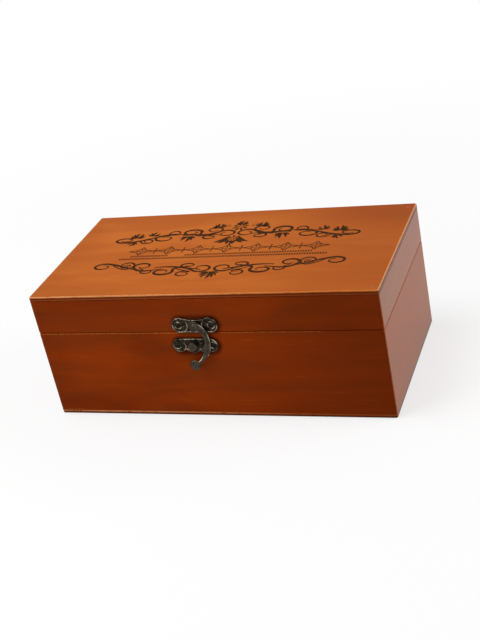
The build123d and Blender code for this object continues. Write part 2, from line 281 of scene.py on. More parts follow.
def stripe(f, distance, centre, half, soft=0.25 * mm):
    # a line along one level: 1 within half of centre, 0 beyond half and soft
    return f.step((distance - centre).size(), half + soft, half)


def woodFigure(f, grain, offset):
    # every noise of the wood, stretched along the axis that the fibres follow
    made = {}
    for layer, (fine, coarse, *form) in figure.items():
        scale = [fine] * 3
        scale[grain] = coarse
        made[layer] = f.noise(scale, *form, offset=offset)
    return made


def stainColour(f, d, n, tones):
    # the ground tone, with patches, clouds, bands and fibres laid over it in turn
    streak = tones["streak"]
    colour = f.mix(f.step(n["patches"], *marks["patches"]), tones["ground"], tones["patch"])
    colour = f.mix(f.step(n["clouds"], *marks["clouds"]) * tones["clouds"], colour, streak)
    colour = f.mix(f.step(n["bands"], *marks["bands"]) * marks["bandShare"], colour, streak)
    colour = f.mix(f.step(n["fibres"], *marks["fibres"]) * marks["fibreShare"], colour, streak)
    # painted shade darkens the stain towards the right-hand end; the stain also sits deeper towards the back
    # on the top
    rightShade = f.step(d["x"], *marks["shadeRightward"]) * tones["rightShadeShare"]
    backward = f.step(d["y"], *marks["backward"]) * f.step(d["x"], *marks["backRight"]) * tones["backward"]
    rimward = f.step(d["side"].least(d["wall"] + d["top"]), *marks["rimward"]) * marks["rimShare"]
    colour = f.mix(rightShade.most(rimward) + backward, colour, streak)
    # a panel's edges are stained like the boards that they lie on
    edge = f.mix(f.step(d["side"], *marks["skin"]), stain["wallBrown"], stain["sideDark"])
    # painted shade darkens the edge tone towards the right-hand end
    edge = f.mix(f.step(d["x"], *marks["shadeRightward"]) * marks["edgeShadeRight"], edge, stain["wallDark"])
    colour = f.mix(d["skin"] * tones["edge"], colour, edge)
    # fine golden scratches, fewer towards the right
    fine = f.step(n["scratches"], *marks["scratches"]) * f.step(n["patches"], *marks["scratched"])
    return f.mix(fine * f.step(d["x"], *marks["scratchFades"]), colour, stain["golden"])


def insideMask(f, d):
    # 1 on the faces inside the case: past the middle of the walls, clear of the top and the bottom
    start, end = (share * case["wall"] for share in marks["insideWall"])
    clear = marks["insideClear"]
    return f.step(d["wall"], start, end) * f.step(d["top"], *clear) * f.step(d["z"], *clear)


def wornColour(f, d, n, colour):
    # the rubbed upper edges, ragged and palest to the left, the lower line of the base, and a broken
    # golden line below the seam that paints a highlight on the base's upper edge
    ragged, chips, reach = n["ragged"], n["chips"], rubbed["reach"]
    rim = d["wall"].most(d["top"]) + (ragged - 0.5) * rubbed["ragged"] * reach
    rim = rim + (chips - 0.5) * rubbed["chipped"] * reach
    start, end = (share * reach for share in rubbed["rim"])
    byRagged, byChips = rubbed["brokenBy"]
    broken = f.step(ragged * byRagged + chips * byChips, *rubbed["broken"])
    foot = stripe(f, d["z"], *rubbed["foot"]) * d["skin"] * broken * f.step(d["x"], *rubbed["footFades"])
    under = stripe(f, d["top"], *rubbed["under"]) * d["skin"] * broken * rubbed["underShare"]
    worn = f.step(rim, start, end).most(foot).most(under)
    palest = f.step(d["x"], *rubbed["leftward"]).most(f.step(d["side"], *rubbed["side"]))
    bareTone = f.mix(palest * broken, stain["golden"], stain["bare"])
    colour = f.mix(worn * rubbed["share"], colour, bareTone)
    # a painted highlight: a broken golden line along the base's upper edge below the seam
    seamHighlight = stripe(f, d["z"], case["seam"] - rubbed["seamHighlightDrop"], rubbed["seamHighlight"]) * d["skin"]
    seamHighlight = seamHighlight * f.step(chips, *rubbed["seamHighlightChips"])
    seamHighlight = seamHighlight * f.step(d["x"], rubbed["seamHighlightEnd"] + rubbed["seamHighlightFade"], rubbed["seamHighlightEnd"])
    return f.mix(seamHighlight * f.step(d["x"], *rubbed["seamHighlightShare"]), colour, stain["golden"])


def paintedPlateShadow(f, d, n, fittings):
    # a painted shadow round the latch's plates: the distance from each bar's middle line less its radius, the
    # least of these, with a ragged edge, on the front's outer face
    near = None
    for across, level, half, radius in fittings:
        reach = ((d["x"] - across).size() - half).most(0)
        apart = (reach * reach + (d["z"] - level) * (d["z"] - level)) ** 0.5 - radius
        near = apart if near is None else near.least(apart)
    plateShadow = f.step(near + (n["ragged"] - 0.5) * mm, *grimeAndShadow["plateShadow"])
    return plateShadow * f.step(d["y"], *grimeAndShadow["plateShadowFront"]) * d["skin"]


def caseDirt(f, d, n):
    # dirt in the top panel's joint, below the rubbed edge and round the foot
    joint = stripe(f, d["top"], case["height"] - case["topJoint"], grimeAndShadow["joint"])
    joint = joint * f.step(n["ragged"], *grimeAndShadow["jointGaps"])
    ridge = stripe(f, d["top"], *grimeAndShadow["ridge"]) * grimeAndShadow["ridgeShare"]
    foul = stripe(f, d["z"], *grimeAndShadow["foot"])
    return joint.most(ridge).most(foul) * f.step(d["wall"], *grimeAndShadow["wall"])


def stainedWood(name, grain, offset, tones, coat, fittings=()):
    # grain is the axis that the fibres follow, 0 for X and 1 for Y; fittings are rounded bars on the
    # front: middle, level, half length, radius, round which a shadow is painted
    f = Finish(name)
    d = caseMasks(f)
    n = woodFigure(f, grain, offset)
    # inside faces take a thinner, duller stain
    inside = insideMask(f, d)
    plain = f.mix(f.step(n["patches"] * 0.5 + n["bands"] * 0.5, *marks["insideTone"]),
                  stain["insideDark"], stain["insideLight"])
    colour = wornColour(f, d, n, f.mix(inside, stainColour(f, d, n, tones), plain))
    if fittings:
        # a painted shadow round the latch's plates, in the dark tone
        colour = f.mix(paintedPlateShadow(f, d, n, fittings) * grimeAndShadow["plateShadowShare"], colour, stain["darkening"])
    darkening = caseDirt(f, d, n)
    colour = f.mix(darkening * grimeAndShadow["share"], colour, stain["darkening"])

    front, side = coat
    gloss = front + f.step(d["side"], *varnish["side"]) * (side - front)
    coatWeight = gloss * (1 - darkening * varnish["dirtDulls"]) * (1 - inside)
    fibreRough = f.step(n["fibres"], *varnish["fibres"]) * varnish["fibreRough"]
    roughness = varnish["under"] + fibreRough + inside * varnish["insideRough"]
    relief = n["fibres"] * varnish["fibreRelief"] + n["bands"] * varnish["bandRelief"]
    relief = relief - darkening * varnish["dirtRelief"]
    return f.surface(Base_Color=colour, Roughness=roughness, Coat_Weight=coatWeight,
                     Coat_IOR=varnish["index"], Coat_Roughness=varnish["roughness"],
                     Specular_IOR_Level=0.0, Normal=f.bump(relief, varnish["reliefDepth"]))


metal = {
    "black": tone(22, 17, 13),
    "dark": tone(50, 42, 34),
    "blade": tone(74, 66, 55),
    "mid": tone(96, 90, 77),
    # the rims' pale tone, partly rubbed bronze and partly a painted highlight
    "pale": tone(160, 148, 128),
    "rubbed": tone(196, 184, 160),
    "green": tone(66, 72, 56),
}
bronze = {
    "cloud": (260, 4, 0.6),              # each noise's scale, detail and roughness
    "speck": (1500, 3, 0.6),
    "pits": (2600, 2, 0.5),
    "green": (0.55, 0.75),
    "greenShare": 0.45,
    "rub": (0.5, 0.85),
    "rubShare": 0.3,
    "proudShare": 0.4,
    "rubMost": 0.8,
    "grimeRun": 0.4 * mm,
    "grimeShare": 0.7,
    "cloudRough": 0.3,
    "pitRough": (0.6, 0.75),
    "pitRoughShare": 0.15,
    "cloudRelief": 0.5,
    "speckRelief": 0.35,
    "pitRelief": (0.62, 0.75),
    "pitReliefShare": 0.4,
    "reliefDepth": 0.06 * mm,
}
bradHead = {
    "speck": (900, 3, 0.6),
    "bare": (0.5, 0.7),
    "bareShare": 0.5,
    "metallic": 0.4,
    "roughness": 0.5,
    "speckRough": 0.2,
}


def castBronze(name, base, high, dull, rise=None, patch=(0.36, 0.64)):
    # base and high are the metal's darker and lighter tones; rise gives the heights, out from the
    # front or the back of the case, between which the metal turns from grimy to rubbed; patch gives
    # the noise levels between which it turns from base to high
    f = Finish(name)
    cloud, speck, pits = (f.evenNoise(*bronze[layer]) for layer in ("cloud", "speck", "pits"))
    colour = f.mix(f.step(cloud, *patch), base, high)
    colour = f.mix(f.step(speck, *bronze["green"]) * bronze["greenShare"], colour, metal["green"])
    rub = f.step(speck, *bronze["rub"]) * bronze["rubShare"]
    if rise:
        standOff = f.axes()[1].size() - case["halfDepth"]
        rub = rub + f.step(standOff, *rise) * bronze["proudShare"]
        grimy = f.step(standOff, rise[0], rise[0] - bronze["grimeRun"])
        colour = f.mix(grimy * bronze["grimeShare"], colour, metal["black"])
    colour = f.mix(rub.least(bronze["rubMost"]), colour, metal["rubbed"])
    roughness = dull + (cloud - 0.5) * bronze["cloudRough"]
    roughness = roughness + f.step(pits, *bronze["pitRough"]) * bronze["pitRoughShare"]
    relief = cloud * bronze["cloudRelief"] + speck * bronze["speckRelief"]
    relief = relief - f.step(pits, *bronze["pitRelief"]) * bronze["pitReliefShare"]
    return f.surface(Base_Color=colour, Metallic=1.0, Roughness=roughness,
                     Normal=f.bump(relief, bronze["reliefDepth"]))


def stainedSteel(name):
    # a brad's head, stained over with the wood and rubbed bare in specks
    f = Finish(name)
    speck = f.evenNoise(*bradHead["speck"])
    bare = f.step(speck, *bradHead["bare"])
    colour = f.mix(bare * bradHead["bareShare"], stain["topDark"], metal["mid"])
    return f.surface(Base_Color=colour, Metallic=bare * bradHead["metallic"],
                     Roughness=bradHead["roughness"] + speck * bradHead["speckRough"])


def setFinish(material, *names):
    for name in names:
        node = nodes[name]
        node.data.materials.clear()
        node.data.materials.append(material)


eased = {
    "hinge": 0.12 * mm,
    "plate": 0.1 * mm,
    "weld": 0.002 * mm,
    "segments": 2,
    "angle": 35,
}


def easeEdges(name, width):
    # the frame's triangles are joined up, then their sharp edges are rounded
    node = nodes[name]
    weld = node.modifiers.new("weld", "WELD")
    weld.merge_threshold = eased["weld"]
    bevel = node.modifiers.new("ease", "BEVEL")
    bevel.width = width
    bevel.segments = eased["segments"]
    bevel.limit_method = "ANGLE"
    bevel.angle_limit = radians(eased["angle"])


print("case finishes")
# each face's tones, then how much of the streak tone lies in clouds, towards the right as painted shade and
# towards the back, and how much of the boards' tone an edge takes
topTones = {"ground": stain["topMid"], "patch": stain["topLight"], "streak": stain["topDark"],
            "clouds": 0.25, "rightShadeShare": 0.5, "backward": 0.7, "edge": 0.85}
wallTones = {"ground": stain["wallBrown"], "patch": stain["wallRed"], "streak": stain["wallDark"],
             "clouds": 0.5, "rightShadeShare": 0.72, "backward": 0, "edge": 0}
sideTones = {"ground": stain["sideBrown"], "patch": stain["sideRed"], "streak": stain["sideDark"],
             "clouds": 0.3, "rightShadeShare": 0.1, "backward": 0, "edge": 0}
# how much of the clear coat each face has, then how much the outer sides have
topCoat = (0.12, 0.7)
wallCoat = (0.04, 0.7)
baseRightCoat = (0.04, 0.6)
leftCoat = (0.04, 0.2)
plateShadowShift = (0.6 * mm, -0.2 * mm)        # the painted shadow lies a little right of and below the plates
topWood = stainedWood("topWood", 0, (0.3, 0.1, 0.0), topTones, topCoat)
# the plates as rounded bars, for the painted shadow round them
fittings = []
for plate in ("latch_plate", "catch_plate"):
    low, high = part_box(plate)
    radius = (high.z - low.z) / 2
    middle = ((low.x + high.x) / 2 + plateShadowShift[0], (low.z + high.z) / 2 + plateShadowShift[1])
    fittings.append((*middle, (high.x - low.x) / 2 - radius, radius))
lidFrontWood = stainedWood("lidFrontWood", 0, (1.3, 0.2, 0.1), wallTones, wallCoat, fittings)
baseFrontWood = stainedWood("baseFrontWood", 0, (2.1, 0.7, 0.4), wallTones, wallCoat, fittings)
lidRightWood = stainedWood("lidRightWood", 1, (0.6, 1.2, 0.3), sideTones, wallCoat)
baseRightWood = stainedWood("baseRightWood", 1, (0.2, 2.2, 0.8), sideTones, baseRightCoat)
lidLeftWood = stainedWood("lidLeftWood", 1, (0.9, 1.6, 0.5), wallTones, leftCoat)
baseLeftWood = stainedWood("baseLeftWood", 1, (0.4, 2.9, 0.1), wallTones, leftCoat)
setFinish(topWood, "lid_top_panel", "bottom_panel")
setFinish(lidFrontWood, "lid_front_board", "lid_back_board")
setFinish(baseFrontWood, "base_front_board", "base_back_board")
setFinish(lidRightWood, "lid_right_board")
setFinish(baseRightWood, "base_right_board")
setFinish(lidLeftWood, "lid_left_board")
setFinish(baseLeftWood, "base_left_board")

print("metal finishes")
plateBronze = castBronze("plateBronze", metal["black"], metal["dark"], 0.42, (0.9 * mm, 1.4 * mm))
# the rims' paler bronze is partly rubbed metal and partly a painted highlight
rimWearAndHighlightBronze = castBronze("rimWearAndHighlightBronze", metal["dark"], metal["pale"], 0.27, patch=(0.44, 0.66))
armBronze = castBronze("armBronze", metal["dark"], metal["blade"], 0.36)
# a bright bronze for the beads along the arm's edges, a painted highlight
highlightEdgeBronze = castBronze("highlightEdgeBronze", metal["mid"], metal["rubbed"], 0.25)
screwBronze = castBronze("screwBronze", metal["black"], metal["dark"], 0.4, (1.1 * mm, 1.6 * mm))
hingeBronze = castBronze("hingeBronze", metal["dark"], metal["mid"], 0.4, (0.6 * mm, 2.4 * mm))
steel = stainedSteel("bradSteel")
setFinish(steel, "lid_top_brads", "bottom_panel_brads")
setFinish(plateBronze, "latch_plate", "catch_plate")
setFinish(screwBronze, "latch_plate_screws", "catch_plate_screws")
setFinish(armBronze, "latch_rivet", "latch_arm", "catch_post")
for hand in ("left", "right"):
    for part in ("hinge_lid_leaf", "hinge_base_leaf", "hinge_pin"):
        setFinish(hingeBronze, f"{hand}_{part}")
        easeEdges(f"{hand}_{part}", eased["hinge"])
setFinish(hingeBronze, "lid_hinge_screws", "base_hinge_screws")
easeEdges("latch_plate", eased["plate"])
easeEdges("catch_plate", eased["plate"])

print("latch castings")
pivotLow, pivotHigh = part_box("latch_rivet")
postLow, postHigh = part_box("catch_post")
latch = {
    # the pivot and the post on the front face, and the catch plate's middle, in millimetres
    "pivot": ((pivotLow.x + pivotHigh.x) / 2 / mm, (pivotLow.z + pivotHigh.z) / 2 / mm),
    "post": ((postLow.x + postHigh.x) / 2 / mm, (postLow.z + postHigh.z) / 2 / mm),
    "catchShift": (1.1, 0.2),
    "bead": 0.4,                         # half the width of a rounded rim
    "beadRise": (0.9, 1.28),             # how far out from the wood a rim starts and ends
    "lowRise": (0.9, 1.1),
    "highlightBead": 0.2,                     # half the width of the bright bead along the arm's edge, a painted highlight
    "highlightRise": (0.72, 0.28),            # its foot as a share of the arm's thickness, and its height
    "highlightSet": 0.86,
    "highlightRuns": [(1, 0.05, 0.66), (-1, 0.7, 0.97)],     # its side, start and end as shares of the arm
    "armSquare": 0.62,                   # how square the section is: 1 is an oval, less is squarer
    "noseSquare": 0.8,
    "screwRing": 2.2,
    "thumb": (-3.7, -24.8),
    "latchScrews": 10.3,
    "catchScrews": 11.3,
    "latchLobe": (9.15, 0.3, 4.62),      # across, up, radius of the rim's line
    "catchLobe": (9.9, 0.0, 4.02),
    "bottom": -4.12,
    "saddle": (3.35, 0.95, 6.65),        # height at the middle, rise at the ends, half length
    "waist": -2.62,
    "bulge": 4.52,
}

# the arm's line about its pivot: across, up, half width, foot and thickness of the section
armStations = [
    (-0.4, 0.9, 1.3, 1.36, 0.90),
    (2.5, -1.0, 2.5, 1.36, 1.00),
    (5.05, -4.2, 2.0, 1.36, 1.04),
    (6.25, -9.2, 1.75, 1.36, 1.04),
    (5.5, -14.4, 1.85, 1.36, 1.04),
    (3.85, -18.3, 1.75, 1.40, 1.04),
    (1.7, -21.3, 1.05, 2.30, 1.06),
    (-0.9, -23.3, 0.75, 3.10, 1.10),
    (-3.3, -24.6, 0.7, 3.35, 1.10),
]
noseStations = [
    (5.6, -12.8, 1.9, 1.38, 0.9),
    (3.6, -15.0, 1.7, 1.38, 1.0),
    (1.7, -15.8, 0.9, 1.40, 1.0),
    (0.5, -15.45, 0.28, 1.50, 0.8),
]

# the turned pieces' outlines: radius, and height out from the wood
turned = {
    "eye": [(1.3, 1.36), (2.9, 1.36), (3.15, 1.5), (3.2, 1.9), (3.1, 2.25), (2.85, 2.4), (2.6, 2.38),
            (2.4, 2.2), (1.3, 2.15), (1.3, 1.36)],
    "thumb": [(0, 3.12), (2.4, 3.14), (3.1, 3.35), (3.42, 3.85), (3.3, 4.3), (2.7, 4.7), (1.5, 4.86),
              (0, 4.88)],
    "rivet": [(0, -0.7), (2.0, -0.7), (2.0, -0.05), (1.2, -0.05), (1.2, 2.46), (2.15, 2.46), (2.28, 2.6),
              (2.2, 2.85), (1.8, 3.12), (1.0, 3.3), (0, 3.35)],
    "post": [(0, -0.7), (2.0, -0.7), (2.0, -0.05), (1.0, -0.05), (1.0, 2.46), (2.5, 2.47), (2.82, 2.6),
             (2.9, 2.85), (2.75, 3.2), (2.2, 3.52), (1.2, 3.68), (0, 3.7)],
}


def onFront(across, up, out):
    # points of the case's front: across and up in its plane, out towards the viewer, in millimetres
    across, up, out = np.broadcast_arrays(across, up, out)
    return np.stack([across * mm, -case["halfDepth"] - out * mm, up * mm], -1)


def smoothLine(stations, points=48):
    # a cubic through the stations, whose tangents are their central differences
    knots = np.array(stations, float)
    slope = np.gradient(knots, axis=0)
    u = np.linspace(0, len(knots) - 1, points)
    k = np.minimum(u.astype(int), len(knots) - 2)
    t = (u - k)[:, None]
    return ((2 * t**3 - 3 * t**2 + 1) * knots[k] + (t**3 - 2 * t**2 + t) * slope[k]
            + (3 * t**2 - 2 * t**3) * knots[k + 1] + (t**3 - t**2) * slope[k + 1])


def roundedSection(square, points=20):
    # a superellipse: across from -1 to 1, out from 0 to 1
    a = np.linspace(0, 2 * pi, points, endpoint=False)
    across = np.sign(np.cos(a)) * np.abs(np.cos(a)) ** square
    out = np.sign(np.sin(a)) * np.abs(np.sin(a)) ** square
    return across, (out + 1) / 2


def castBar(place, stations, square):
    # the rounded section carried along a line, scaled at each point by the line's own width and thickness
    line = smoothLine(stations)
    path = line[:, 0] + 1j * line[:, 1]
    ahead = np.gradient(path)
    side = (1j * ahead / np.abs(ahead))[:, None]
    across, out = roundedSection(square)
    spot = complex(*place) + path[:, None] + side * across * line[:, 2:3]
    return onFront(spot.real, spot.imag, line[:, 3:4] + out * line[:, 4:5])


def bead(path, closed, rise=latch["beadRise"], half=latch["bead"]):
    # a half-round rim carried along a line of the front, out between the two levels of rise
    a = np.linspace(0, pi, 9)
    foot, top = (np.reshape(level, (-1, 1)) for level in rise)
    if closed:
        ahead = np.roll(path, -1) - np.roll(path, 1)
    else:
        ahead = np.gradient(path)
    side = (1j * ahead / np.abs(ahead))[:, None]
    spot = path[:, None] + side * np.cos(a) * half
    grid = onFront(spot.real, spot.imag, foot + np.sin(a) * (top - foot))
    return np.concatenate([grid, grid[:1]]) if closed else grid


def lathe(place, profile, sides=40):
    # a profile of radius and height out, turned about an axis that stands on the front
    a = np.linspace(0, 2 * pi, sides, endpoint=False)
    radius, out = (np.array(column, float)[:, None] for column in zip(*profile))
    return onFront(place[0] + radius * np.cos(a), place[1] + radius * np.sin(a), out)


def arcLine(middle, radius, start, end, points=33):
    # middle + radius * e to the ia, the angle a running evenly from start to end, in degrees
    a = np.radians(np.linspace(start, end, points))
    return complex(*middle) + radius * np.exp(1j * a)


def ringLine(middle, radius, points):
    # a whole turn of arcLine without its last point, which is its first again
    return arcLine(middle, radius, 0, 360, points + 1)[:-1]


sharpAngle = 50
doublesWithin = 0.0001 * mm
sliversWithin = 0.00005 * mm


def makeCasting(name, shells, material, body, *replaced):
    # each shell is a grid of points, wrapped across its rows and capped at both ends
    points, faces, start = [], [], 0
    for grid in shells:
        m, n = grid.shape[:2]
        i, j = np.meshgrid(np.arange(m - 1), np.arange(n), indexing="ij")
        walls = np.stack([i * n + j, i * n + (j + 1) % n, (i + 1) * n + (j + 1) % n, (i + 1) * n + j], -1)
        faces += (walls.reshape(-1, 4) + start).tolist()
        if not np.allclose(grid[0], grid[-1]):
            faces += [[start + k for k in range(n)], [start + (m - 1) * n + k for k in range(n)]]
        points.append(grid.reshape(-1, 3))
        start += m * n
    mesh = bpy.data.meshes.new(name)
    mesh.from_pydata(np.concatenate(points).tolist(), [], faces)
    mesh.materials.append(material)
    faceOutwards(mesh)
    mesh.polygons.foreach_set("use_smooth", np.ones(len(mesh.polygons), bool))
    mesh.set_sharp_from_angle(angle=radians(sharpAngle))
    piece = bpy.data.objects.new(name, mesh)
    bpy.context.scene.collection.objects.link(piece)
    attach(piece, body)
    if replaced:
        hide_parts(*replaced)
    return piece


def faceOutwards(mesh):
    # double points are merged and slivers dissolved, then every face is turned outwards
    shell = bmesh.new()
    shell.from_mesh(mesh)
    bmesh.ops.remove_doubles(shell, verts=shell.verts, dist=doublesWithin)
    bmesh.ops.dissolve_degenerate(shell, edges=shell.edges, dist=sliversWithin)
    bmesh.ops.recalc_face_normals(shell, faces=shell.faces)
    shell.to_mesh(mesh)
    shell.free()


# how many points the rims' lines have
lobePoints = 72
screwPoints = 40
linePoints = 25
shortPoints = 9


def latchPlateRims():
    # round both lobes and screws, along the saddle between the lobes and along the straight bottom
    x, z = latch["pivot"]
    across, up, radius = latch["latchLobe"]
    low, rise, half = latch["saddle"]
    rims = []
    for side in (-1, 1):
        lobe = ringLine((side * across, up), radius, lobePoints)
        lobe = lobe.real + 1j * np.maximum(lobe.imag, latch["bottom"])
        screw = (x + side * latch["latchScrews"], z + up)
        rims.append(bead(lobe + x + 1j * z, True))
        rims.append(bead(ringLine(screw, latch["screwRing"], screwPoints), True))
    t = np.linspace(-1, 1, linePoints)
    rims.append(bead(x + half * t + 1j * (z + low + rise * t**2), False))
    rims.append(bead(x + across * t + 1j * (z + latch["bottom"]), False, latch["lowRise"]))
    return rims


def catchPlateRims():
    # round both ends and screws, along the straight top, the waist and the bulge under the post
    dx, dz = latch["catchShift"]
    x, z = latch["post"][0] + dx, latch["post"][1] + dz
    across, up, radius = latch["catchLobe"]
    rims = []
    for side in (-1, 1):
        screw = (x + side * latch["catchScrews"], z)
        rims.append(bead(ringLine((x + side * across, z), radius, lobePoints), True))
        rims.append(bead(ringLine(screw, latch["screwRing"], screwPoints), True))
    t = np.linspace(-1, 1, linePoints)
    rims.append(bead(x + across * t + 1j * (z + radius), False))
    lean = np.degrees(np.arcsin((latch["waist"] + dz) / latch["bulge"]))
    rims.append(bead(arcLine((x - dx, z - dz), latch["bulge"], 180 - lean, 360 + lean), False))
    for side in (-1, 1):
        inner = -dx + side * latch["bulge"] * cos(radians(lean))
        outer = side * (across - (radius**2 - latch["waist"]**2) ** 0.5)
        waist = np.linspace(inner, outer, shortPoints) + 1j * latch["waist"]
        rims.append(bead(x + 1j * z + waist, False))
    return rims


def swingArm():
    # the blade with its hooked nose, the rimmed eye round the rivet and the rounded thumb piece
    place = latch["pivot"]
    blade = castBar(place, armStations, latch["armSquare"])
    nose = castBar(place, noseStations, latch["noseSquare"])
    eye = lathe(place, turned["eye"])
    thumb = lathe((place[0] + latch["thumb"][0], place[1] + latch["thumb"][1]), turned["thumb"])
    return [blade, nose, eye, thumb]


def armHighlightBead(side, start, end):
    # a thin bead along one edge of the arm, between two shares of its length, in a bright bronze that paints
    # a highlight
    line = smoothLine(armStations)
    path = line[:, 0] + 1j * line[:, 1]
    ahead = np.gradient(path)
    path = complex(*latch["pivot"]) + path + 1j * ahead / np.abs(ahead) * side * latch["highlightSet"] * line[:, 2]
    share, height = latch["highlightRise"]
    foot = line[:, 3] + share * line[:, 4]
    part = slice(int(start * len(line)), int(end * len(line)))
    return bead(path[part], False, (foot[part], foot[part] + height), latch["highlightBead"])


# the rivet has its tail behind the plate and a low dome in front of the arm's eye; the post's head keeps
# the arm behind it
rivet = lathe(latch["pivot"], turned["rivet"])
post = lathe(latch["post"], turned["post"])
# bright beads along the arm's edges, painted highlights
edges = [armHighlightBead(*run) for run in latch["highlightRuns"]]
makeCasting("latch_plate_rim", latchPlateRims(), rimWearAndHighlightBronze, "lid")
makeCasting("catch_plate_rim", catchPlateRims(), rimWearAndHighlightBronze, "base")
makeCasting("latch_arm_casting", swingArm(), armBronze, "latch_arm", "latch_arm")
makeCasting("latch_arm_highlight_beads", edges, highlightEdgeBronze, "latch_arm")
makeCasting("latch_rivet_dome", [rivet], armBronze, "lid", "latch_rivet")
makeCasting("catch_post_knob", [post], armBronze, "base", "catch_post")

print("print on the lid")
ink = {
    "colour": tone(64, 42, 27),
    "faded": tone(124, 70, 32),
    "rise": 0.03 * mm,
    "layer": 0.003 * mm,
    "layers": 6,
    "thin": 0.6,
    "heavier": 1.25,
    "fullest": 0.45,                     # where a scroll's line is widest, as a share of its length
    "point": 0.08,                       # a leaf's width at its ends
    "leafSwell": 0.8,
    "outerShort": 0.45,                  # how much shorter a fan's outer leaves are
    "fanBow": 0.12,
    "petalFoot": 0.28,                   # as shares of a blossom's size
    "eye": 0.17,
    "eyeLine": 0.35,
    "axis": 0.3,
    "patch": (700, 4, 0.65),             # a noise's scale, detail and roughness
    "broad": (60, 2, 0.5),
    "patchPart": 0.7,
    "broadPart": 0.3,
    "worn": (0.52, 0.64),
    "wornShare": 0.8,
    "roughness": 0.6,
    "patchRough": 0.2,
}

# each scroll: eye, radii, angle where it starts, rounds, where its tail starts, the tail's heading, weight
upperScrolls = [
    ((-73.6, 18.0), (6.5, 3.2), -80, -1.25, (-38.0, 23.0), 172, 1.6),
    ((-57.3, 15.6), (4.1, 3.0), 200, 1.25, (-68.0, 15.4), 10, 1.0),
    ((-46.6, 19.1), (6.6, 4.2), 110, 1.1, (-32.0, 22.0), 150, 1.4),
    ((-41.6, 25.8), (4.1, 3.4), 215, -1.0, (-49.5, 21.2), 50, 1.0),
    ((-30.1, 26.0), (6.4, 4.0), -15, 1.2, (-14.5, 20.6), 180, 1.7),
    ((-34.0, 21.7), (2.0, 0.8), 90, 0.3, (-12.0, 24.4), 205, 1.5),
    ((-15.8, 28.6), (5.4, 3.8), -60, 1.15, (-27.0, 21.4), -10, 1.3),
    ((-16.0, 18.6), (4.8, 2.7), 120, 1.0, (-7.5, 20.6), 165, 1.1),
    ((-6.4, 23.1), (6.2, 4.4), 150, -1.15, (-24.5, 20.4), 10, 1.4),
]
lowerScrolls = [
    ((-73.6, -18.2), (6.2, 4.0), 60, 1.1, (-48.0, -23.6), 165, 1.6),
    ((-57.8, -17.6), (5.0, 4.3), -30, 1.25, (-68.5, -15.6), -45, 1.1),
    ((-46.6, -18.8), (6.0, 4.1), 215, -1.05, (-32.0, -22.6), 195, 1.6),
    ((-41.4, -25.8), (4.0, 2.8), 150, 1.0, (-48.0, -21.0), -70, 1.0),
    ((-30.8, -26.8), (6.6, 3.8), 20, -1.15, (-14.5, -21.2), 170, 1.7),
    ((-35.0, -21.3), (5.0, 0.8), 90, 0.2, (-10.5, -26.0), 150, 1.4),
    ((-16.3, -19.2), (4.8, 2.6), 230, -1.05, (-7.0, -25.0), 160, 1.2),
    ((-16.3, -30.0), (4.9, 3.2), 60, 1.2, (-24.0, -22.6), -35, 1.1),
    ((-6.6, -23.4), (6.1, 4.4), 215, 1.15, (-24.5, -21.6), -10, 1.4),
]

# each fan of leaves: foot, heading, length, leaves, spread
upperFans = [
    ((-66.9, 21.0), 92, 7.0, 7, 160),
    ((-56.2, 23.2), 80, 6.0, 5, 140),
    ((-66.4, 14.8), 250, 5.4, 5, 130),
    ((-30.8, 20.6), 270, 7.6, 5, 120),
    ((-13.8, 31.8), 105, 6.2, 7, 160),
]

# two leaves, foot, tip, bow and width, and a ring in each half of the upper flourish
upperLeaves = [((-2.7, 19.0), (-11.2, 10.8), 0.14, 0.24), ((-2.4, 15.4), (-8.0, 9.4), 0.1, 0.26)]
upperRing = ((-8.6, 33.6), 1.6, 1.4, 0.45)

# on the print's upright axis: each blossom's level, size, petals, turn and width, and each fan's level,
# heading, length, leaves, spread and width
upperMiddle = [
    ((31.8, 5.6, 8, 22), (35.0, 90, 5.6, 7, 150)),
    ((14.8, 5.2, 8, 0, 0.36), (11.8, 270, 5.4, 5, 110)),
]
lowerEye = ((-57.8, -17.6), 2.2, 5, 90)
lowerFan = (-28.6, 270, 8.6, 7, 150, 0.22)
lowerBlossom = (-31.2, 3.0, 6)

band = {
    "units": 7,
    "first": -56.0,
    "last": 57.6,
    "middle": 1.8,
    "halfWidth": 8.2,
    "halfHeight": 5.3,
    "hollow": 0.36,
    "line": 0.75,
    "points": 12,                        # along each hollow side
    "petal": 3.6,
    "petals": 4,
    "petalWidth": 0.36,
    "bead": 0.8,
    "tongue": (1.2, 3.9),                # the leaves above and below a bead: foot and tip
    "tongueWidth": 0.3,
}

rules = {
    # each row: level, start, end, height of a bead
    "rows": [(-5.2, -60.0, -35.5, 2.0), (-5.2, -23.5, 57.0, 2.0), (-8.6, -66.5, 67.0, 2.1)],
    "step": 1.6,
    "bead": 0.9,
}


def inkFinish(name):
    # dark ink, worn paler where a fine and a broad noise together are high
    f = Finish(name)
    patch, broad = f.evenNoise(*ink["patch"]), f.evenNoise(*ink["broad"])
    worn = f.step(patch * ink["patchPart"] + broad * ink["broadPart"], *ink["worn"])
    colour = f.mix(worn * ink["wornShare"], ink["colour"], ink["faded"])
    roughness = ink["roughness"] + patch * ink["patchRough"]
    return f.surface(Base_Color=colour, Roughness=roughness, Specular_IOR_Level=0.0)


def spiral(eye, radii, start, rounds, close=0.35):
    # eye + shrink * (rx cos a + i ry sin a), the angle a turning evenly and shrink falling from 1 to close
    t = np.linspace(0, 1, max(12, int(abs(rounds) * 30)))
    a = radians(start) + 2 * pi * rounds * t
    shrink = 1 - (1 - close) * t ** 1.5
    return complex(*eye) + shrink * (radii[0] * np.cos(a) + 1j * radii[1] * np.sin(a))


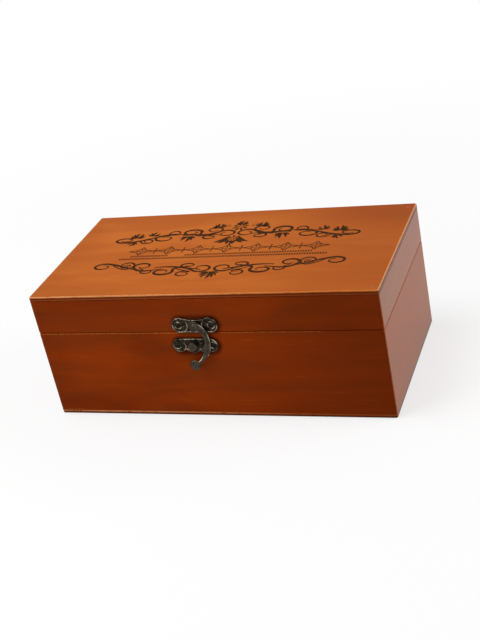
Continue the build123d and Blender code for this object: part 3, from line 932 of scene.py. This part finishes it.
def sweep(start, heading, end, endHeading, pull=1.2, points=24):
    # a Hermite cubic from start to end, its two end tangents as long as pull times the gap
    t = np.linspace(0, 1, points)
    reach = abs(end - start) * pull
    out, into = reach * np.exp(1j * heading), reach * np.exp(1j * endHeading)
    return ((2 * t**3 - 3 * t**2 + 1) * start + (t**3 - 2 * t**2 + t) * out
            + (3 * t**2 - 2 * t**3) * end + (t**3 - t**2) * into)


def scroll(eye, radii, start, rounds, tail, aim, weight):
    # a tail that runs tangent into a spiral; the line swells to its weight in the middle of its length
    curl = spiral(eye, radii, start, rounds)
    run = sweep(complex(*tail), radians(aim), curl[0], np.angle(curl[1] - curl[0]))
    path = np.concatenate([run[:-1], curl])
    s = np.concatenate([[0], np.cumsum(np.abs(np.diff(path)))])
    s = s / s[-1]
    peak = ink["fullest"]
    full = np.where(s < peak, s / peak, (1 - s) / (1 - peak))
    return path, ink["thin"] + (weight * ink["heavier"] - ink["thin"]) * np.sin(full * pi / 2)


def leaf(foot, tip, bow, width):
    # a curved line from foot to tip, as wide as its length times width at the middle and pointed at its ends
    t = np.linspace(0, 1, 9)
    a, b = complex(*foot), complex(*tip)
    path = a + t * (b - a) + np.sin(t * pi) * (b - a) * 1j * bow
    return path, ink["point"] + abs(b - a) * width * np.sin(t * pi) ** ink["leafSwell"]


def fan(foot, aim, size, leaves, spread, width=0.27):
    # leaves that spread evenly from one foot, the outer ones shorter and bowed away from the middle
    made = []
    for k in range(leaves):
        off = k / (leaves - 1) - 0.5
        angle = radians(aim + spread * off)
        reach = size * (1 - ink["outerShort"] * abs(off))
        tip = (foot[0] + reach * cos(angle), foot[1] + reach * sin(angle))
        made.append(leaf(foot, tip, -ink["fanBow"] if off < 0 else ink["fanBow"], width))
    return made


def blossom(middle, size, petals, turn=0, width=0.4):
    # petals set evenly round a small ring
    made = []
    for k in range(petals):
        aim = np.exp(1j * radians(turn + 360 * k / petals))
        near = complex(*middle) + ink["petalFoot"] * size * aim
        far = complex(*middle) + size * aim
        made.append(leaf((near.real, near.imag), (far.real, far.imag), 0, width))
    return made + [ring(middle, ink["eye"] * size, ink["eye"] * size, ink["eyeLine"])]


def ring(middle, rx, ry, line, points=17):
    # middle + rx cos a + i ry sin a, drawn with an even line
    a = np.linspace(0, 2 * pi, points)
    return complex(*middle) + rx * np.cos(a) + 1j * ry * np.sin(a), np.full(points, line)


def mirrored(strokes):
    # the same strokes on the other side of the print's upright axis
    return [(2 * ink["axis"] - path.conjugate(), width) for path, width in strokes]


def layPrint(name, strokes):
    # each stroke is a flat bar: a four-cornered section carried along its path, closed at both ends
    points, faces, start = [], [], 0
    for k, (path, width) in enumerate(strokes):
        ahead = np.gradient(path)
        side = 1j * ahead / np.maximum(np.abs(ahead), 1e-9) * width / 2
        high = case["height"] + ink["rise"] + (k % ink["layers"]) * ink["layer"]
        low = case["height"] - ink["rise"]
        section = [(path + side, high), (path - side, high), (path - side, low), (path + side, low)]
        corners = [np.column_stack([p.real * mm, p.imag * mm, np.full(len(p), z)]) for p, z in section]
        n = len(path)
        points.append(np.stack(corners, 1).reshape(-1, 3))
        along, j = np.arange(n - 1)[:, None] * 4, np.arange(4)[None]
        walls = np.stack([along + j, along + (j + 1) % 4, along + 4 + (j + 1) % 4, along + 4 + j], -1)
        ends = np.array([[3, 2, 1, 0], [4 * n - 4, 4 * n - 3, 4 * n - 2, 4 * n - 1]])
        faces.append(np.concatenate([walls.reshape(-1, 4), ends]) + start)
        start += 4 * n
    mesh = bpy.data.meshes.new(name)
    mesh.from_pydata(np.concatenate(points).tolist(), [], np.concatenate(faces).tolist())
    mesh.materials.append(inkMaterial)
    faceOutwards(mesh)
    piece = bpy.data.objects.new(name, mesh)
    bpy.context.scene.collection.objects.link(piece)
    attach(piece, "lid")
    return piece


def onAxis(make, level, *rest):
    # a fan or a blossom whose foot or middle is on the print's upright axis
    return make((ink["axis"], level), *rest)


def upperFlourish():
    half = [scroll(*row) for row in upperScrolls]
    for row in upperFans:
        half += fan(*row)
    half += [leaf(*row) for row in upperLeaves] + [ring(*upperRing)]
    middle = []
    for flower, leaves in upperMiddle:
        middle += onAxis(blossom, *flower) + onAxis(fan, *leaves)
    return half + mirrored(half) + middle


def lowerFlourish():
    half = [scroll(*row) for row in lowerScrolls] + blossom(*lowerEye)
    middle = onAxis(fan, *lowerFan) + onAxis(blossom, *lowerBlossom)
    return half + mirrored(half) + middle


def lozengeBand():
    # hollow-sided lozenges, each with a four-petalled flower, and beads between them
    strokes = []
    places = np.linspace(band["first"], band["last"], band["units"])
    t = np.linspace(0, 1, band["points"])
    level = band["middle"]
    corners = [band["halfWidth"], 1j * band["halfHeight"], -band["halfWidth"], -1j * band["halfHeight"]]
    for x in places:
        for a, b in zip(corners, corners[1:] + corners[:1]):
            bowed = (a * (1 - t) + b * t) * (1 - band["hollow"] * np.sin(t * pi))
            strokes.append((x + 1j * level + bowed, np.full(len(t), band["line"])))
        strokes += blossom((x, level), band["petal"], band["petals"], 0, band["petalWidth"])
    foot, tip = band["tongue"]
    for x in (places[1:] + places[:-1]) / 2:
        strokes.append(ring((x, level), band["bead"], band["bead"], band["line"]))
        for side in (-1, 1):
            strokes.append(leaf((x, level + side * foot), (x, level + side * tip), 0, band["tongueWidth"]))
    return strokes


def beadedRules():
    # two lines of short upright beads, the upper one with a gap
    strokes = []
    for level, start, end, height in rules["rows"]:
        upright = 1j * (level + np.array([-0.5, 0.5]) * height)
        for x in np.arange(start, end, rules["step"]):
            strokes.append((x + upright, np.full(2, rules["bead"])))
    return strokes


inkMaterial = inkFinish("lidInk")
layPrint("upper_flourish_print", upperFlourish())
layPrint("lower_flourish_print", lowerFlourish())
layPrint("lozenge_band_print", lozengeBand())
layPrint("beaded_rule_print", beadedRules())

print("floor, lights and camera")
studio = {
    "floorTone": (0.95, 0.95, 0.95),
    "bounceTone": (0.5, 0.5, 0.5),
    "floorHalf": 5.0,
    "floorLevel": -0.15 * mm,
    "floorWhite": (0.7, 1.0),
    "fadeStart": 0.22,
    "fadeEnd": 0.6,
    "worldLevel": 0.35,
    "lampAim": (0, 0, 0.04),
}

# each lamp: place, size and power
lamps = {
    "keyLight": ((-0.55, -0.25, 1.6), 0.9, 17.0),
    "leftLight": ((-0.5, -0.55, 0.35), 0.35, 0.9),
    "rightLight": ((1.3, 0.35, 0.55), 0.8, 7.5),
}


def layFloor():
    # a flat pale sheet; to the camera and to glossy rays it fades to plain white away from the box
    half, level = studio["floorHalf"], studio["floorLevel"]
    corners = [(x * half, y * half, level) for x, y in ((-1, -1), (1, -1), (1, 1), (-1, 1))]
    mesh = bpy.data.meshes.new("floor")
    mesh.from_pydata(corners, [], [(0, 1, 2, 3)])
    floor = bpy.data.objects.new("floor", mesh)
    bpy.context.scene.collection.objects.link(floor)
    f = Finish("paleFloor")
    camera = f.node("LightPath", output=0)
    glossy = f.node("LightPath", output=3)
    seen = camera.most(glossy)
    x, y = f.axes()[:2]
    far = (x * x + y * y) ** 0.5
    white = seen * f.step(far, studio["fadeStart"], studio["fadeEnd"], *studio["floorWhite"])
    f.surface(Base_Color=f.mix(camera, studio["bounceTone"], studio["floorTone"]), Roughness=0.9,
              Specular_IOR_Level=0.0)
    glow = f.node("Emission", None, {"Color": (1, 1, 1), "Strength": 1.0})
    cover = f.node("MixShader", None, {0: white, 1: Value(f, f.shader.outputs[0]), 2: glow})
    f.tree.links.new(cover.socket, f.tree.nodes["Material Output"].inputs["Surface"])
    mesh.materials.append(f.material)


def softBox(name, place, size, power):
    # a square lamp turned towards the box
    light = bpy.data.lights.new(name, "AREA")
    light.shape = "SQUARE"
    light.size = size
    light.energy = power
    lamp = bpy.data.objects.new(name, light)
    lamp.location = place
    back = Vector(place) - Vector(studio["lampAim"])
    lamp.rotation_euler = back.to_track_quat("Z", "Y").to_euler()
    bpy.context.scene.collection.objects.link(lamp)


def lightWorld():
    # white to the camera and to reflections, dimmer as light on the object
    world = bpy.data.worlds.new("paleStudio")
    bpy.context.scene.world = world
    world.use_nodes = True
    tree = world.node_tree
    sky = tree.nodes["Background"]
    path = tree.nodes.new("ShaderNodeLightPath")
    seen = tree.nodes.new("ShaderNodeMath")
    seen.operation = "MAXIMUM"
    tree.links.new(path.outputs["Is Camera Ray"], seen.inputs[0])
    tree.links.new(path.outputs["Is Glossy Ray"], seen.inputs[1])
    level = tree.nodes.new("ShaderNodeMapRange")
    level.inputs["To Min"].default_value = studio["worldLevel"]
    level.inputs["To Max"].default_value = 1.0
    tree.links.new(seen.outputs[0], level.inputs["Value"])
    tree.links.new(level.outputs[0], sky.inputs["Strength"])
    sky.inputs["Color"].default_value = (1, 1, 1, 1)


viewpoint = {
    "azimuth": 23.77,
    "elevation": 27.54,
    "roll": -12.28,
    "lens": 68.42,
    "distance": 753.4 * mm,
    "across": -1.74 * mm,
    "upward": 6.45 * mm,
    "sensor": 36,
}


def placeCamera():
    # the camera looks at the wooden case's centre from the photograph's angle, rolled with it
    a, e, r = (radians(viewpoint[k]) for k in ("azimuth", "elevation", "roll"))
    back = Vector((sin(a) * cos(e), -cos(a) * cos(e), sin(e)))
    right = Vector((cos(a), sin(a), 0))
    up = back.cross(right)
    across = cos(r) * right + sin(r) * up
    upward = cos(r) * up - sin(r) * right
    centre = Vector((0, 0, case["height"] / 2))
    camera = bpy.data.objects.new("camera", bpy.data.cameras.new("camera"))
    camera.matrix_world = Matrix.Translation(
        centre + back * viewpoint["distance"] - across * viewpoint["across"] - upward * viewpoint["upward"]
    ) @ Matrix((across, upward, back)).transposed().to_4x4()
    camera.data.lens = viewpoint["lens"]
    camera.data.sensor_width = viewpoint["sensor"]
    bpy.context.scene.collection.objects.link(camera)
    bpy.context.scene.camera = camera


layFloor()
lightWorld()
for name, lamp in lamps.items():
    softBox(name, *lamp)
placeCamera()
bpy.context.scene.view_settings.view_transform = "Standard"
